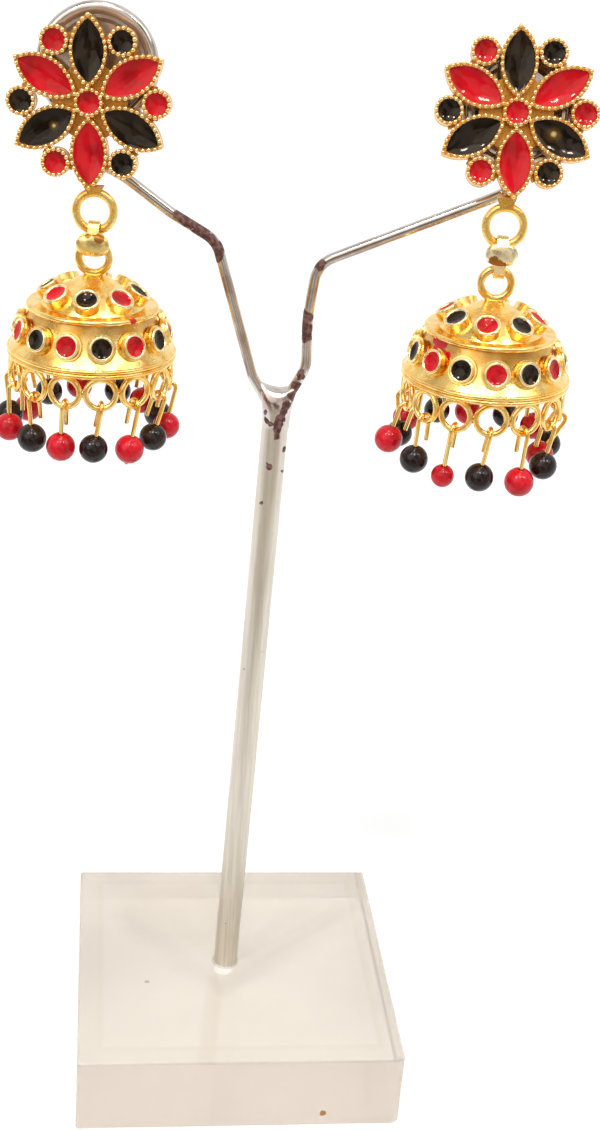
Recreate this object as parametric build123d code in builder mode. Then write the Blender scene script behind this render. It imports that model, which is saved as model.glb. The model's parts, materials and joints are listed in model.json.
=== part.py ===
from build123d import *
import os
from collections import namedtuple
from math import cos, radians, sin, tan

# A pair of jhumka earrings hung on a Y-shaped wire stand with a clear block base.
# Millimetres, +Z up. The earrings face -Y, the stand's arms lie in the plane Y = 0,
# and the origin is the middle of the block's underside.

# Base block and stand frame
BASE_SIDE = 40.0
BASE_HEIGHT = 10.0
BASE_TURN = 7.7
BASE_CORNER_RADIUS = 1.2
BASE_EDGE_RADIUS = 0.4
SOCKET_DEPTH = 5.0
SOCKET_CLEARANCE = 0.08
ROD_RADIUS = 1.5
ROD_FOOT = Vector(-0.95, -0.25, BASE_HEIGHT)
ROD_TOP = Vector(0.8, 0.0, 87.4)
SOLDER_RADIUS = 1.7
ARM_RADIUS = 0.6
DISC_RADIUS = 6.5
DISC_RIM_RADIUS = 0.7
DISC_BACK = 0.4
DISC_FLOOR = 0.75
DISC_STEP_TOP = 1.45
DISC_STEP_OUTER = 5.2
DISC_STEP_INNER = 4.4
DISC_HOLE_RADIUS = 0.6

# Flower: seven round stones and six pointed ones in open-backed cups
FLOWER_LEAN = 2.7
CUP_BACK_Y = -2.6
CUP_DEPTH = 1.9
CUP_FLOOR = 0.9
PETAL_PLACE = 5.15
PETAL_HALF_LENGTH = 3.7
PETAL_HALF_WIDTH = 1.95
ROUND_PLACE = 7.05
ROUND_CUP_RADIUS = 1.5
CUP_WALL = 0.34
WEB_THICKNESS = 0.7
WEB_RADIUS = 3.9
BRIDGE_PLACE = 6.6
BRIDGE_LENGTH = 3.5
BRIDGE_WIDTH = 0.9
STONE_GAP = 0.03
PETAL_CROWN_RADIUS = 12.0
ROUND_CROWN_RADIUS = 2.2
STONE_CROWN = 0.25
NECK_TOP = -8.5
NECK_WIDTH = 2.1
NECK_WAIST = 1.3
NECK_THICKNESS = 1.2
POST_RADIUS = 0.4
POST_LENGTH = 9.0

# Push-back on the ear post, behind the disc
NUT_FRONT = 0.9
NUT_FLANGE_RADIUS = 2.2
NUT_FLANGE_THICKNESS = 0.8
NUT_BARREL_RADIUS = 1.3
NUT_LENGTH = 3.4
NUT_CLEARANCE = 0.05

# Hanging rings and the strip link between them
RING_MAJOR = 2.0
RING_WIRE = 0.47
EYE_MAJOR = 1.62
EYE_WIRE = 0.43
LINK_INNER = 0.74
LINK_BULGE = 1.0
LINK_BULGE_SHIFT = 0.2
LINK_STRIP = 0.3
LINK_MARGIN = 0.5
LINK_NARROW = 0.6
LINK_WIDE = 1.7
LINK_WIDE_HEIGHT = 1.1

# Bell, measured from the plane of its rim
RIM_RADIUS = 9.2
RIM_HEIGHT = 1.02
RIM_ROOT_RADIUS = 8.95
RIM_INNER_RADIUS = 8.45
BAND_TOP = (6.7, 5.2)
BAND_SAG = 0.22
LIP_RADIUS = 7.2
LIP_TOP = 5.7
DOME_FOOT_RADIUS = 5.6
DOME_TOP = 8.5
WALL = 0.5
PAD_RADIUS = 2.55
PAD_TOP_RADIUS = 1.0
PAD_FOOT = 8.03
PAD_TOP = 8.85
EYE_HEIGHT = 10.65

# Collets on the two tiers: place and height of the stone's face, lean from upright
Collet = namedtuple("Collet", "count place height lean outer stone length flange")
UPPER_COLLETS = Collet(8, 4.95, 7.45, 33.0, 1.45, 1.05, 1.45, 0.0)
LOWER_COLLETS = Collet(14, 8.37, 3.2, 72.0, 1.36, 1.03, 1.2, 1.56)
COLLET_SEAT_DEPTH = 0.45
FLANGE_DEPTH = 0.45

# Fringe of rings under the rim, and the drops that hang in them
FRINGE_COUNT = 14
FRINGE_PLACE = 8.6
FRINGE_HEIGHT = -1.72
FRINGE_MAJOR = 1.62
FRINGE_WIRE = 0.31
FRINGE_SOLDER = 0.36
HOOK_WIRE = 0.24
HOOK_BEND = 0.75
HOOK_CLEARANCE = 0.1
HOOK_TAIL = 2.35
PIN_HEAD = 0.34
BEAD_RADIUS = 1.57
BEAD_HOLE = 0.34
BEAD_RECESS_RADIUS = 0.45
BEAD_RECESS_DEPTH = 0.75

# Each drop: how far its bead hangs below the rim, its lean along the rim, its tilt in
# under the bell, and its bead's size
Drop = namedtuple("Drop", "depth lean tilt scale")

# What differs from one earring to the other. Tilt is how far its flower leans back, its
# disc is placed from the flower's middle, and turns are degrees from the front.
Side = namedtuple(
    "Side",
    "flower tilt disc arm ring link_x bell_x link_span wide_place"
    " upper_turn upper_first lower_turn lower_first bead_first drops",
)

SIDES = {
    "left": Side(
        flower=(-20.71, 119.48),
        tilt=8.0,
        disc=(0.54, 3.68),
        arm=(
            (0.2, 86.6, 0.0),
            (-2.15, 90.2, 2.0),
            (-6.95, 105.25, 3.2),
            (-12.0, 107.95, 12.0),
            (-17.2, 111.45, 12.0),
            (-21.9, 113.5, 2.4),
            (-22.4, 121.0, 0.0),
        ),
        ring=(-19.75, 108.31),
        link_x=-19.75,
        bell_x=-19.75,
        link_span=1.4,
        wide_place=1.05,
        upper_turn=0.0,
        upper_first="black",
        lower_turn=-11.0,
        lower_first="red",
        bead_first="red",
        drops=(
            Drop(7.8, -3.5, 7.0, 1.0),
            Drop(7.75, -9.0, 7.0, 0.98),
            Drop(8.2, -5.0, 9.5, 1.0),
            Drop(7.7, -7.0, 13.0, 0.96),
            Drop(7.6, -6.0, 11.5, 0.95),
            Drop(7.8, 2.0, 16.0, 0.98),
            Drop(7.5, 4.0, 8.0, 0.96),
            Drop(7.2, -2.0, 2.0, 0.98),
            Drop(6.9, 3.0, 2.0, 0.96),
            Drop(7.3, -3.0, 3.0, 0.98),
            Drop(8.0, 2.0, 15.0, 0.97),
            Drop(7.4, 6.0, 7.0, 0.96),
            Drop(7.55, 5.0, -1.0, 0.97),
            Drop(7.65, -0.5, 7.0, 1.0),
        ),
    ),
    "right": Side(
        flower=(23.58, 121.8),
        tilt=18.0,
        disc=(0.2, 0.7),
        arm=(
            (1.2, 86.6, 0.0),
            (3.75, 91.8, 3.5),
            (3.5, 97.4, 20.0),
            (4.15, 103.6, 3.2),
            (22.4, 112.25, 14.0),
            (25.6, 114.1, 2.4),
            (25.9, 121.0, 0.0),
        ),
        ring=(23.5, 110.12),
        link_x=23.42,
        bell_x=23.32,
        link_span=2.6,
        wide_place=0.65,
        upper_turn=-10.0,
        upper_first="red",
        lower_turn=2.5,
        lower_first="red",
        bead_first="black",
        drops=(
            Drop(8.15, -7.0, 7.0, 0.98),
            Drop(8.75, 1.5, 7.0, 1.02),
            Drop(7.45, -7.0, 7.5, 0.97),
            Drop(7.95, -5.0, 29.0, 0.98),
            Drop(7.7, -2.0, 13.0, 0.95),
            Drop(7.2, 3.0, 2.0, 0.98),
            Drop(6.9, -2.0, 2.0, 0.96),
            Drop(7.1, 2.0, 2.0, 0.98),
            Drop(6.9, -3.0, 2.0, 0.95),
            Drop(7.2, 2.0, -3.0, 0.98),
            Drop(7.5, 4.0, 8.5, 0.94),
            Drop(7.2, -3.0, -14.0, 0.98),
            Drop(7.75, -3.5, 1.0, 0.98),
            Drop(8.7, -7.0, 7.0, 0.8),
        ),
    ),
}


def save(piece, name):
    """Label a finished piece and write it to its own file."""
    piece.part.label = name
    export_step(piece.part, f"parts/{name}.step")


def marquise(half_length, half_width):
    """A pointed oval, long along X."""
    with BuildSketch() as outline:
        with BuildLine():
            ThreePointArc((-half_length, 0), (0, half_width), (half_length, 0))
            ThreePointArc((half_length, 0), (0, -half_width), (-half_length, 0))
        make_face()
    return outline.sketch


def disc(radius):
    """A plain round outline."""
    with BuildSketch() as outline:
        Circle(radius)
    return outline.sketch


def ring_of_planes(plane, radius, count, start, height=0.0, lean=0.0):
    """Planes spread evenly about a plane's axis, their X outward, leaning out from it."""
    tip = Location((0, 0, height), (0, lean, 0))
    return [Plane(plane.location * spot * tip) for spot in PolarLocations(radius, count, start)]


def neck_plane(side):
    """The upright plane that the neck and its ring are cut from."""
    lean = radians(FLOWER_LEAN)
    origin = (side.flower[0], CUP_BACK_Y, side.flower[1])
    return Plane(origin=origin, x_dir=(cos(lean), 0, sin(lean)), z_dir=(0, -1, 0))


def flower_plane(side):
    """The plane of the cups' backs, leaning back from the top of the neck."""
    hinge = Location((0, NECK_TOP, CUP_DEPTH / 2))
    back = Location((0, 0, 0), (-side.tilt, 0, 0))
    return Plane(neck_plane(side).location * hinge * back * hinge.inverse())


def disc_plane(side):
    """The plane of a disc's arm, behind the flower and parallel to it."""
    return Plane(flower_plane(side).location * Location((*side.disc, CUP_BACK_Y)))


def arm_corner(side, x, z):
    """A corner of an arm: in the plane Y = 0, then up along the leaning disc."""
    middle = disc_plane(side).origin
    return (x, max(0, middle.Y + (z - middle.Z) * tan(radians(side.tilt))), z)


def ring_centre(side):
    """Centre of the flower's hanging ring, half way through the cups' depth."""
    return Vector(side.ring[0], CUP_BACK_Y - CUP_DEPTH / 2, side.ring[1])


def link_pivot(side):
    """Middle of the ring wire that carries the link, above the link's middle line."""
    centre = ring_centre(side)
    return Vector(side.link_x, centre.Y, centre.Z - RING_MAJOR)


def bell_pivot(side):
    """Middle of the bell's eye wire, carried by the link."""
    pivot = link_pivot(side)
    return Vector(side.bell_x, pivot.Y, pivot.Z - side.link_span)


def rim_plane(side):
    """The plane of the bell's rim, centred on the bell's axis."""
    pivot = bell_pivot(side)
    return Plane(origin=pivot - Vector(0, 0, EYE_HEIGHT + EYE_MAJOR))


def facing_plane(centre):
    """An upright plane through a point, facing -Y, with its X to the right."""
    return Plane(origin=centre, x_dir=(1, 0, 0), z_dir=(0, -1, 0))


def crowned_stone(plane, outline, crown_radius):
    """A stone extruded from its seat, with its top rounded to a low crown."""
    top = CUP_DEPTH - CUP_FLOOR + STONE_CROWN
    with BuildPart() as stone:
        with BuildSketch(plane.offset(CUP_FLOOR + STONE_GAP)):
            add(outline)
        extrude(amount=top)
        with Locations(plane.offset(CUP_FLOOR + top - crown_radius).location):
            Sphere(crown_radius, mode=Mode.INTERSECT)
    return stone


# ---------------------------------------------------------------- base block
rod_axis = (ROD_TOP - ROD_FOOT).normalized()
rod_end = ROD_FOOT - rod_axis * (SOCKET_DEPTH - SOCKET_CLEARANCE)

with BuildPart() as acrylic_base:
    with BuildSketch(Plane.XY.rotated((0, 0, BASE_TURN))):
        Rectangle(BASE_SIDE, BASE_SIDE)
    extrude(amount=BASE_HEIGHT)
    corner_axis = Axis((0, 0, 0), (sin(radians(BASE_TURN)) + cos(radians(BASE_TURN)), -1, 0))
    fillet(acrylic_base.edges().filter_by(Axis.Z).sort_by(corner_axis)[-1], BASE_CORNER_RADIUS)
    fillet(acrylic_base.edges(), BASE_EDGE_RADIUS)
    with BuildSketch(Plane(origin=ROD_FOOT - rod_axis * SOCKET_DEPTH, z_dir=rod_axis)):
        Circle(ROD_RADIUS + SOCKET_CLEARANCE)
    extrude(amount=2 * SOCKET_DEPTH, mode=Mode.SUBTRACT)

save(acrylic_base, "acrylic_base")

# ------------------------------------------- rod, arms and discs, one soldered piece
with BuildPart() as stand_frame:
    with BuildSketch(Plane(origin=rod_end, z_dir=rod_axis)):
        Circle(ROD_RADIUS)
    extrude(amount=(ROD_TOP - rod_end).length)
    with Locations(ROD_TOP):
        Sphere(SOLDER_RADIUS)
    for side in SIDES.values():
        with BuildLine() as arm:
            corners = [arm_corner(side, x, z) for x, z, radius in side.arm]
            radii = [radius for x, z, radius in side.arm[1:-1]]
            FilletPolyline(*corners, radius=radii)
        with BuildSketch(Plane(origin=arm.line @ 0, z_dir=arm.line % 0)):
            Circle(ARM_RADIUS)
        sweep(path=arm.line)
        dish = disc_plane(side)
        with BuildSketch(Plane(origin=dish.origin, x_dir=dish.x_dir, z_dir=dish.y_dir)):
            with BuildLine():
                Polyline(
                    (0, -DISC_BACK),
                    (DISC_STEP_OUTER, -DISC_BACK),
                    (DISC_STEP_OUTER, -DISC_STEP_TOP),
                    (DISC_STEP_OUTER - DISC_BACK, -DISC_STEP_TOP),
                    (DISC_STEP_INNER, -DISC_FLOOR - DISC_BACK),
                    (0, -DISC_FLOOR),
                    close=True,
                )
            make_face()
        revolve(axis=Axis(dish.origin, dish.z_dir))
        with Locations(dish.offset(DISC_STEP_TOP - DISC_RIM_RADIUS / 4).location):
            Torus(DISC_RADIUS - DISC_RIM_RADIUS, DISC_RIM_RADIUS)
        with BuildSketch(flower_plane(side).offset(CUP_BACK_Y - ARM_RADIUS)):
            Circle(DISC_HOLE_RADIUS)
        extrude(amount=3 * ARM_RADIUS + DISC_STEP_TOP, mode=Mode.SUBTRACT)

save(stand_frame, "stand_frame")

# ------------------------------------------------------------------ earrings
def make_setting(name, side):
    """Cups, web, neck, ring and ear post of a flower, soldered into one piece."""
    plane = flower_plane(side)
    petals = ring_of_planes(plane, PETAL_PLACE, 6, 90)
    rounds = ring_of_planes(plane, ROUND_PLACE, 6, 60)
    bridges = ring_of_planes(plane, BRIDGE_PLACE, 6, 60)
    inner_length = PETAL_HALF_LENGTH - 1.5 * CUP_WALL
    with BuildPart() as setting:
        with BuildSketch(plane):
            Circle(WEB_RADIUS)
        extrude(amount=WEB_THICKNESS)
        with BuildSketch(*bridges):
            Rectangle(BRIDGE_WIDTH, BRIDGE_LENGTH)
        extrude(amount=WEB_THICKNESS)
        with BuildSketch(*petals):
            add(marquise(PETAL_HALF_LENGTH, PETAL_HALF_WIDTH))
        with BuildSketch(plane, *rounds):
            Circle(ROUND_CUP_RADIUS)
        extrude(amount=CUP_DEPTH)
        with BuildSketch(*[petal.offset(CUP_FLOOR) for petal in petals]):
            add(marquise(inner_length, PETAL_HALF_WIDTH - CUP_WALL))
        with BuildSketch(*[spot.offset(CUP_FLOOR) for spot in [plane, *rounds]]):
            Circle(ROUND_CUP_RADIUS - CUP_WALL)
        extrude(amount=CUP_DEPTH, mode=Mode.SUBTRACT)
        hang = neck_plane(side).to_local_coords(ring_centre(side))
        waist = hang.Y + RING_MAJOR
        with BuildSketch(neck_plane(side).offset((CUP_DEPTH - NECK_THICKNESS) / 2)):
            with BuildLine():
                Polyline(
                    (hang.X - NECK_WIDTH / 2, NECK_TOP),
                    (hang.X + NECK_WIDTH / 2, NECK_TOP),
                    (hang.X + NECK_WAIST / 2, waist),
                    (hang.X - NECK_WAIST / 2, waist),
                    close=True,
                )
            make_face()
        extrude(amount=NECK_THICKNESS)
        with Locations(facing_plane(ring_centre(side)).location):
            Torus(RING_MAJOR, RING_WIRE)
        with BuildSketch(plane.offset(CUP_FLOOR / 2)):
            Circle(POST_RADIUS)
        extrude(amount=-POST_LENGTH)
    save(setting, f"{name}_flower_setting")


def make_flower_stones(name, side):
    """Six pointed stones, six round ones between them, and the middle one."""
    plane = flower_plane(side)
    half_length = PETAL_HALF_LENGTH - 1.5 * CUP_WALL - 2 * STONE_GAP
    half_width = PETAL_HALF_WIDTH - CUP_WALL - STONE_GAP
    radius = ROUND_CUP_RADIUS - CUP_WALL - STONE_GAP
    petals = ring_of_planes(plane, PETAL_PLACE, 6, 90)
    rounds = ring_of_planes(plane, ROUND_PLACE, 6, 60)
    for number, spot in enumerate(petals, 1):
        petal_stone = crowned_stone(spot, marquise(half_length, half_width), PETAL_CROWN_RADIUS)
        save(petal_stone, f"{name}_petal_stone_{number}")
    for number, spot in enumerate(rounds, 1):
        save(crowned_stone(spot, disc(radius), ROUND_CROWN_RADIUS), f"{name}_round_stone_{number}")
    save(crowned_stone(plane, disc(radius), ROUND_CROWN_RADIUS), f"{name}_centre_stone")


def make_push_back(name, side):
    """A plain flanged nut that slides on the ear post behind the disc."""
    front = flower_plane(side).offset(CUP_BACK_Y - NUT_FRONT)
    with BuildPart() as push_back:
        with BuildSketch(front):
            Circle(NUT_FLANGE_RADIUS)
        extrude(amount=-NUT_FLANGE_THICKNESS)
        with BuildSketch(front):
            Circle(NUT_BARREL_RADIUS)
        extrude(amount=-NUT_LENGTH)
        with BuildSketch(front):
            Circle(POST_RADIUS + NUT_CLEARANCE)
        extrude(amount=-NUT_LENGTH, mode=Mode.SUBTRACT)
    save(push_back, f"{name}_push_back")


def link_loop(side, thickness):
    """The link's closed loop seen edge on: tight at one end, bulging forward at the other."""
    if side.wide_place > side.link_span / 2:
        tight, bulge = 0.0, side.link_span - LINK_BULGE_SHIFT
    else:
        tight, bulge = side.link_span, LINK_BULGE_SHIFT
    with BuildSketch() as loop:
        with Locations((tight, 0)):
            Circle(LINK_INNER + thickness)
        with Locations((bulge, LINK_INNER - LINK_BULGE)):
            Circle(LINK_BULGE + thickness)
        make_hull()
    return loop.sketch


def make_link(name, side):
    """A strip bent into a closed loop: narrow at the back and one end, wide in front."""
    pivot = link_pivot(side)
    span = side.link_span
    behind = LINK_INNER + LINK_STRIP + LINK_MARGIN
    back = facing_plane(pivot + Vector(0, behind, 0))
    with BuildPart() as link:
        with BuildSketch(Plane(origin=pivot, x_dir=(0, 0, -1), z_dir=(1, 0, 0))):
            add(link_loop(side, LINK_STRIP))
            add(link_loop(side, 0.0), mode=Mode.SUBTRACT)
        extrude(amount=LINK_WIDE, both=True)
        with BuildSketch(back):
            with Locations((0, -span / 2)):
                Rectangle(2 * LINK_NARROW, 2 * span + 4 * LINK_BULGE)
            with Locations((0, -side.wide_place)):
                Ellipse(LINK_WIDE, LINK_WIDE_HEIGHT)
        extrude(amount=behind + 3 * LINK_BULGE, mode=Mode.INTERSECT)
        with BuildSketch(back):
            with Locations((0, -span / 2)):
                Rectangle(2 * LINK_WIDE, 2 * span + 4 * LINK_BULGE)
                Rectangle(2 * LINK_NARROW, 2 * span + 4 * LINK_BULGE, mode=Mode.SUBTRACT)
        extrude(amount=behind + RING_WIRE, mode=Mode.SUBTRACT)
    save(link, f"{name}_connector_link")


def collet_planes(side, collets, turn):
    """Planes of a tier's stone faces, X outward and Z along each collet's axis."""
    plane = rim_plane(side)
    return ring_of_planes(plane, collets.place, collets.count, turn - 90, collets.height, collets.lean)


def make_bell(name, side):
    """The two-tier shell with its collets, rim, fringe rings, pad and eye."""
    rim = rim_plane(side)
    profile = facing_plane(rim.origin)
    tiers = (
        (UPPER_COLLETS, collet_planes(side, UPPER_COLLETS, side.upper_turn)),
        (LOWER_COLLETS, collet_planes(side, LOWER_COLLETS, side.lower_turn)),
    )
    fringe = ring_of_planes(rim, FRINGE_PLACE, FRINGE_COUNT, side.lower_turn - 90, FRINGE_HEIGHT, 90)
    joints = ring_of_planes(
        rim, FRINGE_PLACE * cos(radians(180 / FRINGE_COUNT)), FRINGE_COUNT,
        side.lower_turn - 90 + 180 / FRINGE_COUNT, FRINGE_HEIGHT,
    )
    band_x, band_z = BAND_TOP
    with BuildPart() as bell:
        with BuildSketch(profile):
            with BuildLine():
                root = RIM_ROOT_RADIUS
                ridge = RIM_HEIGHT / 2
                Polyline((0, DOME_TOP), (0, 0), (root, 0))
                ThreePointArc((root, 0), (RIM_RADIUS, ridge / 2), (root, ridge))
                ThreePointArc((root, ridge), (RIM_RADIUS, 1.5 * ridge), (root, RIM_HEIGHT))
                SagittaArc((root, RIM_HEIGHT), BAND_TOP, BAND_SAG)
                ThreePointArc(BAND_TOP, (LIP_RADIUS, (band_z + LIP_TOP) / 2), (band_x, LIP_TOP))
                Line((band_x, LIP_TOP), (DOME_FOOT_RADIUS, LIP_TOP))
                outer_radius = dome_radius(DOME_FOOT_RADIUS, DOME_TOP)
                RadiusArc((DOME_FOOT_RADIUS, LIP_TOP), (0, DOME_TOP), -outer_radius)
            make_face()
        revolve(axis=Axis(rim.origin, (0, 0, 1)))
        for collets, planes in tiers:
            with BuildSketch(*planes):
                Circle(collets.outer)
            extrude(amount=-collets.length)
            if collets.flange:
                depth = collets.length - FLANGE_DEPTH
                with BuildSketch(*[spot.offset(FLANGE_DEPTH - depth) for spot in planes]):
                    Circle(collets.flange)
                extrude(amount=-FLANGE_DEPTH)
        with BuildSketch(profile):
            with BuildLine():
                inner_foot = DOME_FOOT_RADIUS - WALL
                inner_top = DOME_TOP - WALL
                mouth = RIM_INNER_RADIUS
                Polyline((0, inner_top), (0, -1), (mouth, -1), (mouth, RIM_HEIGHT / 2))
                SagittaArc((mouth, RIM_HEIGHT / 2), (band_x - WALL, band_z - WALL), BAND_SAG)
                Line((band_x - WALL, band_z - WALL), (inner_foot, LIP_TOP - WALL))
                RadiusArc((inner_foot, LIP_TOP - WALL), (0, inner_top), -dome_radius(inner_foot, inner_top))
            make_face()
        revolve(axis=Axis(rim.origin, (0, 0, 1)), mode=Mode.SUBTRACT)
        for collets, planes in tiers:
            with BuildSketch(*planes):
                Circle(collets.stone + STONE_GAP)
            extrude(amount=-COLLET_SEAT_DEPTH, mode=Mode.SUBTRACT)
        with Locations(rim.offset(PAD_FOOT).location):
            upward = (Align.CENTER, Align.CENTER, Align.MIN)
            Cone(PAD_RADIUS, PAD_TOP_RADIUS, PAD_TOP - PAD_FOOT, align=upward)
        with Locations(facing_plane(rim.origin + Vector(0, 0, EYE_HEIGHT)).location):
            Torus(EYE_MAJOR, EYE_WIRE)
        with Locations(*[spot.location for spot in fringe]):
            Torus(FRINGE_MAJOR, FRINGE_WIRE)
        with Locations(*[spot.location for spot in joints]):
            Sphere(FRINGE_SOLDER)
    save(bell, f"{name}_bell")


def dome_radius(foot, top):
    """Radius of the sphere through the dome's foot and its top."""
    rise = top - LIP_TOP + (DOME_FOOT_RADIUS - foot)
    return (foot**2 + rise**2) / (2 * rise)


def make_bell_stones(name, side):
    """The bell's red and black stones, each colour a field of small loose stones."""
    seats = {"red": [], "black": []}
    for collets, turn, first in (
        (UPPER_COLLETS, side.upper_turn, side.upper_first),
        (LOWER_COLLETS, side.lower_turn, side.lower_first),
    ):
        colours = ("red", "black") if first == "red" else ("black", "red")
        for number, spot in enumerate(collet_planes(side, collets, turn)):
            seats[colours[number % 2]].append((spot.offset(STONE_GAP - COLLET_SEAT_DEPTH), collets.stone))
    for colour, spots in seats.items():
        with BuildPart() as stones:
            for spot, radius in spots:
                with BuildSketch(spot):
                    Circle(radius)
                extrude(amount=COLLET_SEAT_DEPTH)
        save(stones, f"{name}_bell_{colour}_stones")


def drop_planes(side):
    """Each drop with its own plane: origin in the ring's wire, X outward, Y up."""
    rim = rim_plane(side)
    rest = FRINGE_HEIGHT - FRINGE_MAJOR
    spots = ring_of_planes(rim, FRINGE_PLACE, FRINGE_COUNT, side.lower_turn - 90, rest)
    planes = []
    for spot, drop in zip(spots, side.drops):
        swing = Location((0, 0, 0), (drop.lean, drop.tilt, 0))
        upright = Location((0, 0, 0), (90, 0, 0))
        planes.append((Plane(spot.location * swing * upright), -rest, drop))
    return planes


def make_drop_hooks(name, side):
    """Head pins bent over the fringe rings: a leg outside, a short tail inside."""
    with BuildPart() as hooks:
        for plane, rest_depth, drop in drop_planes(side):
            bead_level = -(drop.depth - rest_depth)
            pin_end = bead_level - BEAD_RADIUS * drop.scale + PIN_HEAD
            bend_level = FRINGE_WIRE + HOOK_CLEARANCE + HOOK_WIRE - HOOK_BEND
            with BuildLine(plane) as wire:
                Line((HOOK_BEND, pin_end), (HOOK_BEND, bend_level))
                ThreePointArc(
                    (HOOK_BEND, bend_level),
                    (0, bend_level + HOOK_BEND),
                    (-HOOK_BEND, bend_level),
                )
                Line((-HOOK_BEND, bend_level), (-HOOK_BEND, bend_level - HOOK_TAIL))
            with BuildSketch(Plane(origin=wire.line @ 0, z_dir=wire.line % 0)):
                Circle(HOOK_WIRE)
            sweep(path=wire.line)
            with Locations(wire.line @ 0):
                Sphere(PIN_HEAD)
    save(hooks, f"{name}_drop_hooks")


def make_beads(name, side):
    """Drilled round beads on the pins, alternately red and black."""
    colours = ("red", "black") if side.bead_first == "red" else ("black", "red")
    drops = drop_planes(side)
    for start, colour in enumerate(colours):
        with BuildPart() as beads:
            for plane, rest_depth, drop in drops[start::2]:
                centre = plane.location * Location((HOOK_BEND, rest_depth - drop.depth, 0), (-90, 0, 0))
                radius = BEAD_RADIUS * drop.scale
                with Locations(centre):
                    Sphere(radius)
                with Locations(centre):
                    Cylinder(BEAD_HOLE, 2 * radius, mode=Mode.SUBTRACT)
                with Locations(centre * Location((0, 0, -radius))):
                    Cylinder(BEAD_RECESS_RADIUS, 2 * BEAD_RECESS_DEPTH, mode=Mode.SUBTRACT)
        save(beads, f"{name}_{colour}_beads")


os.makedirs("parts", exist_ok=True)
for side_name, side in SIDES.items():
    make_setting(side_name, side)
    make_flower_stones(side_name, side)
    make_push_back(side_name, side)
    make_link(side_name, side)
    make_bell(side_name, side)
    make_bell_stones(side_name, side)
    make_drop_hooks(side_name, side)
    make_beads(side_name, side)
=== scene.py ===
import json
import math
import random
from collections import namedtuple

import bpy
from mathutils import Matrix, Vector


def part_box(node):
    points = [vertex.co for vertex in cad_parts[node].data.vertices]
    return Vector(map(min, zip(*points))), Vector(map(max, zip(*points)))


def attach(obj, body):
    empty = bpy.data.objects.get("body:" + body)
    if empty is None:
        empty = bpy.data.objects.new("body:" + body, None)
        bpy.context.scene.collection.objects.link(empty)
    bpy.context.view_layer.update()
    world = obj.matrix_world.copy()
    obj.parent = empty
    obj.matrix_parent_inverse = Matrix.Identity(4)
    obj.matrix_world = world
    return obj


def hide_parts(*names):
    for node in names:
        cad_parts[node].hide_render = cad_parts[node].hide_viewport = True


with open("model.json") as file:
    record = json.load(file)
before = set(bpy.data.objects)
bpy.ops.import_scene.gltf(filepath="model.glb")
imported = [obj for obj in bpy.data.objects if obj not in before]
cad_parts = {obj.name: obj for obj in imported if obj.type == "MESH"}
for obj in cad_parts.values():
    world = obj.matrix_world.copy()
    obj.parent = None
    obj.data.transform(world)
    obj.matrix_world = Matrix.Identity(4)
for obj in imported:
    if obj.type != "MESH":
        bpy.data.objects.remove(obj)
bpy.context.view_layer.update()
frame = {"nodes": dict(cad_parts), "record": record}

# ------------------------------------------------------------------ acrylic block
# The stand's foot is a clear cast acrylic block, sawn square, flame polished and a
# little yellowed. Dust and one rusty fleck sit on it. The rod is glued in its hole.

# Sizes are written in millimetres, and the frame is in metres
MM = 0.001


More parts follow.
